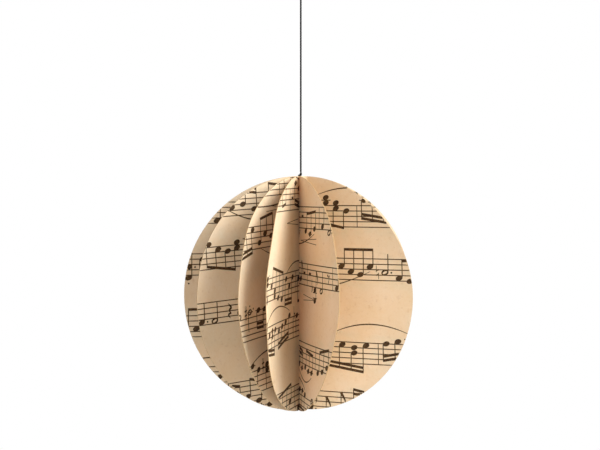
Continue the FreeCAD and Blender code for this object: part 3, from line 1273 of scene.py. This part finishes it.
@dataclass
class Threadwork:
    """The black thread: the seam, its knots, the hanging thread and the loop."""

    stack: Stack
    yarn: Yarn
    top_knot: tuple[float, float]
    loop_knot: tuple[float, float]
    paper_top: float
    hook_diameter: float = 5.0
    strand_gap: float = 0.15
    stitch_clearance: float = 0.02
    stitch_bend_radius: float = 0.45
    edge_bend_radius: float = 0.34
    start_knot_width: float = 1.2
    start_knot_height: float = 1.4
    knot_clearance: float = 0.05
    cut_end_length: float = 2.2
    cut_end_splay: float = 22.0
    knot_width: float = 0.85
    loop_knot_width: float = 1.4

    def hanging_thread(self, material: bpy.types.Material,
                       loop: Sequence[bpy.types.Object]) -> bpy.types.Object:
        """The taut thread from the ball's top knot to the loop's knot.

        Its route is a spline with points 3 mm from both knots, and the tube follows points
        read from that spline.

        Args:
            material: the thread.
            loop: the pieces at its upper end; not used.

        Returns:
            The thread.
        """
        foot = self.top_knot[1]
        head = self.loop_knot[0]
        data = bpy.data.curves.new("hanging_route", "CURVE")
        data.dimensions = "3D"
        spline = data.splines.new("NURBS")
        spline.points.add(3)
        for point, height in zip(spline.points, (foot, foot + 3, head - 3, head)):
            point.co = (0.0, 0.0, height * MM, 1.0)
        spline.order_u = 3
        spline.use_endpoint_u = True
        spline.resolution_u = 24
        holder = bpy.data.objects.new("hanging_route", data)
        line = bpy.data.meshes.new_from_object(holder)
        path = np.array([vertex.co[:] for vertex in line.vertices])
        bpy.data.objects.remove(holder)
        beside = np.tile([1.0, 0.0, 0.0], (len(path), 1))
        piece = self.yarn.tube("hanging_cotton", path / MM, beside, material)
        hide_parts("hanging_thread")
        return piece

    def loop(self, material: bpy.types.Material) -> list[bpy.types.Object]:
        """The loop over the hook and the knot that closes it.

        Two strands rise from the knot and touch the arc over the hook where the line from
        the strand's foot is tangent to it.

        Args:
            material: the thread.

        Returns:
            The knot and the loop.
        """
        low, high = self.loop_knot
        middle = (low + high) / 2
        arc = self.hook_diameter / 2 + self.yarn.radius
        centre = -self.hook_diameter / 2
        foot = np.array([self.yarn.radius + self.strand_gap / 2, middle])
        gap = foot - np.array([0.0, centre])
        touch = math.atan2(gap[1], gap[0]) + math.acos(arc / np.linalg.norm(gap))
        angle = np.linspace(touch, math.pi - touch, 49)
        over = np.stack([arc * np.cos(angle), centre + arc * np.sin(angle)], axis=-1)
        flat = np.concatenate([[foot], over, [foot * np.array([-1.0, 1.0])]])
        path = np.stack([flat[:, 0], np.zeros(len(flat)), flat[:, 1]], axis=-1)
        beside = np.tile([0.0, 1.0, 0.0], (len(path), 1))
        ring = self.yarn.tube("loop_cotton", path, beside, material)
        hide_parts("hanging_loop")
        knot = self.knot("loop_knot_cotton", np.array([0.0, 0.0, middle]),
                         self.loop_knot_width, high - low, material)
        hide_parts("loop_knot")
        return [knot, ring]

    def knot(self, name: str, centre: np.ndarray, width: float, height: float,
             material: bpy.types.Material) -> bpy.types.Object:
        """A tight overhand knot.

        Args:
            name: the piece's name.
            centre: its middle.
            width: its outside width.
            height: its outside height.
            material: the thread.

        Returns:
            The knot.
        """
        tight = Yarn(radius=self.yarn.radius * 0.8, lay=self.yarn.lay, step=0.08)
        path, beside = knot_path(centre, width, height, tight.radius)
        return tight.tube(name, path, beside, material)

    def seam(self, material: bpy.types.Material) -> list[bpy.types.Object]:
        """The running stitch, its start knot with two cut ends, and its top knot.

        The stitch goes up the front from one hole to the next, then up the back, and so on.
        After the last hole it goes over the paper's top edge into the top knot.

        Args:
            material: the thread.

        Returns:
            The pieces.
        """
        stack = self.stack
        normal = np.array([*stack.normal, 0.0])
        plane = np.array([*along(math.radians(stack.seam_azimuth)), 0.0])
        up = np.array([0.0, 0.0, 1.0])
        face = stack.half + self.stitch_clearance + self.yarn.radius
        start = -(stack.half + self.knot_clearance + self.start_knot_width / 2)
        heights = stack.hole_heights
        knot_height = sum(self.top_knot) / 2
        crossing = self.paper_top + self.stitch_clearance + self.yarn.radius
        sides = np.repeat(np.resize([face, -face], len(heights) - 1), 2)
        levels = np.stack([heights[:-1], heights[1:]], axis=-1).ravel()
        back = -sides[-1]
        flat = np.concatenate([
            [[start, heights[0]]], np.stack([sides, levels], axis=-1),
            [[back, heights[-1]], [back, crossing], [0.0, crossing]]])
        radii = [self.stitch_bend_radius] * (len(flat) - 3) + [self.edge_bend_radius]
        route = rounded(flat, radii)
        path = route[:, :1] * normal + route[:, 1:] * up
        beside = np.tile(plane, (len(path), 1))
        stitch = self.yarn.tube("seam_cotton", path, beside, material)
        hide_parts("seam_thread")
        top = self.knot("top_knot_cotton", up * knot_height, self.knot_width,
                        self.top_knot[1] - self.top_knot[0], material)
        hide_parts("top_knot")
        centre = normal * start + up * heights[0]
        first = self.knot("start_knot_cotton", centre, self.start_knot_width,
                          self.start_knot_height, material)
        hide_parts("seam_start_knot")
        pieces = [stitch, top, first]
        for number, side in enumerate((-1, 1)):
            splay = math.radians(self.cut_end_splay) * side
            heading = plane * math.sin(splay) - up * math.cos(splay)
            reach = np.linspace(0.2, self.cut_end_length, 12)[:, None]
            pieces.append(self.yarn.tube(f"cut_end_{number + 1}", centre + heading * reach,
                                         np.tile(normal, (12, 1)), material))
        return pieces


# Studio

@dataclass(frozen=True)
class Softbox:
    """A square soft light that faces the ball."""

    name: str
    azimuth: float
    elevation: float
    level: float
    distance: float = 1.0
    width: float = 0.5
    colour: str = "#ffffff"

    def build(self, target: np.ndarray) -> None:
        """Add the light. A level of one makes white paper that faces it read white.

        Args:
            target: the place that it faces, in metres.
        """
        heading = math.radians(self.azimuth)
        lift = math.radians(self.elevation)
        away = np.append(along(heading) * math.cos(lift), math.sin(lift))
        data = bpy.data.lights.new(self.name, "AREA")
        data.shape = "SQUARE"
        data.size = self.width
        data.energy = self.level * math.pi ** 2 * self.distance ** 2
        data.color = linear_rgba(self.colour)[:3]
        light = bpy.data.objects.new(self.name, data)
        light.location = target + away * self.distance
        light.rotation_euler = Vector(away.tolist()).to_track_quat("Z", "Y").to_euler()
        bpy.context.scene.collection.objects.link(light)


@dataclass(frozen=True)
class Studio:
    """The camera, the lights and the white surroundings."""

    ball_middle: float
    eye_distance: float = 420.0
    eye_rise: float = 33.9
    aim_rise: float = 23.3
    aim_side: float = -0.27
    lens: float = 73.8
    ambient: float = 0.40
    ambient_colour: str = "#fff9f0"
    lights: tuple[Softbox, ...] = (
        Softbox("window_softbox", 63.0, 31.0, 1.72, width=0.8, colour="#fdfeff"),
        Softbox("front_softbox", -15.0, -5.0, 0.26, colour="#f2f8ff"),
        Softbox("left_softbox", -60.0, 5.0, 0.06, colour="#fdfeff"),
    )
    floor_drop: float = 120.0
    floor_radius: float = 285.0

    def build_camera(self) -> None:
        """Place the camera in front of the ball, a little above its middle."""
        eye = np.array([self.aim_side, -self.eye_distance, self.ball_middle + self.eye_rise])
        aim = np.array([self.aim_side, 0.0, self.ball_middle + self.aim_rise])
        data = bpy.data.cameras.new("camera")
        data.lens = self.lens
        data.sensor_width = 36.0
        data.clip_start = 0.01
        camera = bpy.data.objects.new("camera", data)
        camera.location = eye * MM
        away = Vector((eye - aim).tolist())
        camera.rotation_euler = away.to_track_quat("Z", "Y").to_euler()
        bpy.context.scene.collection.objects.link(camera)
        bpy.context.scene.camera = camera

    def build_floor(self) -> None:
        """Lay a pale board under the ball that fades out before the camera's view."""
        reach = self.floor_radius
        level = self.ball_middle - self.floor_drop
        corners = np.array([[-reach, -reach, level], [reach, -reach, level],
                            [reach, reach, level], [-reach, reach, level]])
        board = PaintedBoard(self.floor_radius).build()
        floor = mesh_object("studio_floor", corners, np.array([[0, 1, 2, 3]]), [board])

    def build_lights(self) -> None:
        """Add the softboxes and the surroundings, which only the camera sees as white."""
        target = np.array([0.0, 0.0, self.ball_middle]) * MM
        for light in self.lights:
            light.build(target)
        world = bpy.data.worlds.new("white_surroundings")
        world.use_nodes = True
        tree = world.node_tree
        tree.nodes.clear()
        seen = add_node(tree, "ShaderNodeLightPath").outputs["Is Camera Ray"]
        dim = add_node(tree, "ShaderNodeBackground", {
            "Color": linear_rgba(self.ambient_colour), "Strength": self.ambient})
        white = add_node(tree, "ShaderNodeBackground", {
            "Color": linear_rgba("#ffffff"), "Strength": 1.0})
        mix = add_node(tree, "ShaderNodeMixShader", {
            0: seen, 1: dim.outputs["Background"], 2: white.outputs["Background"]})
        add_node(tree, "ShaderNodeOutputWorld", {"Surface": mix.outputs["Shader"]})
        scene = bpy.context.scene
        scene.world = world
        scene.view_settings.view_transform = "Standard"


# Assembly

LEFT_LEAVES = (Leaf(18.8, 11.0, 2.0), Leaf(-15.3, 7.0, 1.5), Leaf(-29.0, 8.0, -1.5),
               Leaf(-57.8, 12.0, 0.0), Leaf(-78.5, 10.0, 1.0), Leaf(-124.0, -7.0, -2.0))
RIGHT_LEAVES = (Leaf(65.2, 13.0, -4.0), Leaf(106.0, 8.0, 2.0), Leaf(130.0, -6.0, -1.5),
                Leaf(153.0, 5.0, 2.0), Leaf(175.0, -8.0, 1.0), Leaf(198.0, -9.0, -2.0))

# Stave tops and tilts of the faces that show in front. The other faces get their own.
FRONT_PRINT = {
    (0, Face.FRONT): ((30.0, 12.3, -16.0, -33.2), 0.0),
    (0, Face.BACK): ((29.6, 10.65, -15.9, -34.1), 0.0),
    (1, Face.FRONT): ((35.9, 8.1, -7.1, -30.7), 1.3),
    (2, Face.FRONT): ((41.5, 24.8, -4.0, -21.4), 2.9),
    (3, Face.FRONT): ((35.4, 18.5, 0.5, -27.3), 3.4),
    (4, Face.FRONT): ((31.2, 13.8, -7.0, -24.5), 0.0),
}


# Distances down from one stave to the next: staves stand in pairs
STAVE_DROPS = (0.0, 17.5, 28.5, 17.5)
HIGHEST_STAVE = 32.0


def page_layout(number: int, face: Face) -> tuple[tuple[float, ...], float]:
    """Heights of a face's staves and their tilt.

    Args:
        number: the disc, from 0 at the front.
        face: which of its faces.

    Returns:
        The heights of the top lines over the ball's middle, and the tilt in degrees.
    """
    if (number, face) in FRONT_PRINT:
        return FRONT_PRINT[number, face]
    rng = np.random.default_rng(SEED + 7 * number + face.value)
    top = HIGHEST_STAVE + rng.uniform(-5, 9)
    tops = top - np.cumsum(STAVE_DROPS)
    return tuple(tops.tolist()), float(rng.uniform(-2.5, 2.5))


def main() -> None:
    """Build the camera, the thread, the paper with its print, and the lights."""
    logging.basicConfig(level=logging.INFO, format="%(name)s %(message)s")
    disc_low, disc_high = height_range("paper_disc_1")
    stack = Stack(middle=(disc_low + disc_high) / 2)
    studio = Studio(ball_middle=stack.middle)
    studio.build_camera()
    cotton = TwistedThread().build()
    threads = Threadwork(stack, Yarn(), height_range("top_knot"), height_range("loop_knot"),
                         disc_high)
    loop = threads.loop(cotton)
    threads.hanging_thread(cotton, loop)
    threads.seam(cotton)
    log.info("thread built, ball middle at %.2f mm", stack.middle)
    paper = [MusicPaper().build(), CutPaperEdge().build()]
    ink = PrintersInk().build()
    needles = needle_rods(stack)
    faces = 0
    for number, (left, right) in enumerate(zip(LEFT_LEAVES, RIGHT_LEAVES)):
        disc = PaperDisc(stack, number, left, right)
        sheet = disc.build(paper, needles)
        faces += len(sheet.data.polygons)
        for face in Face:
            tops, tilt = page_layout(number, face)
            seed = SEED + 2 * number + (face is Face.BACK)
            music = PrintedFace(disc, face, tops, tilt, seed).build(ink)
            faces += len(music.data.polygons)
    bpy.data.objects.remove(needles)
    studio.build_floor()
    studio.build_lights()
    log.info("%d paper and print faces", faces)


if __name__ == "__main__":
    main()
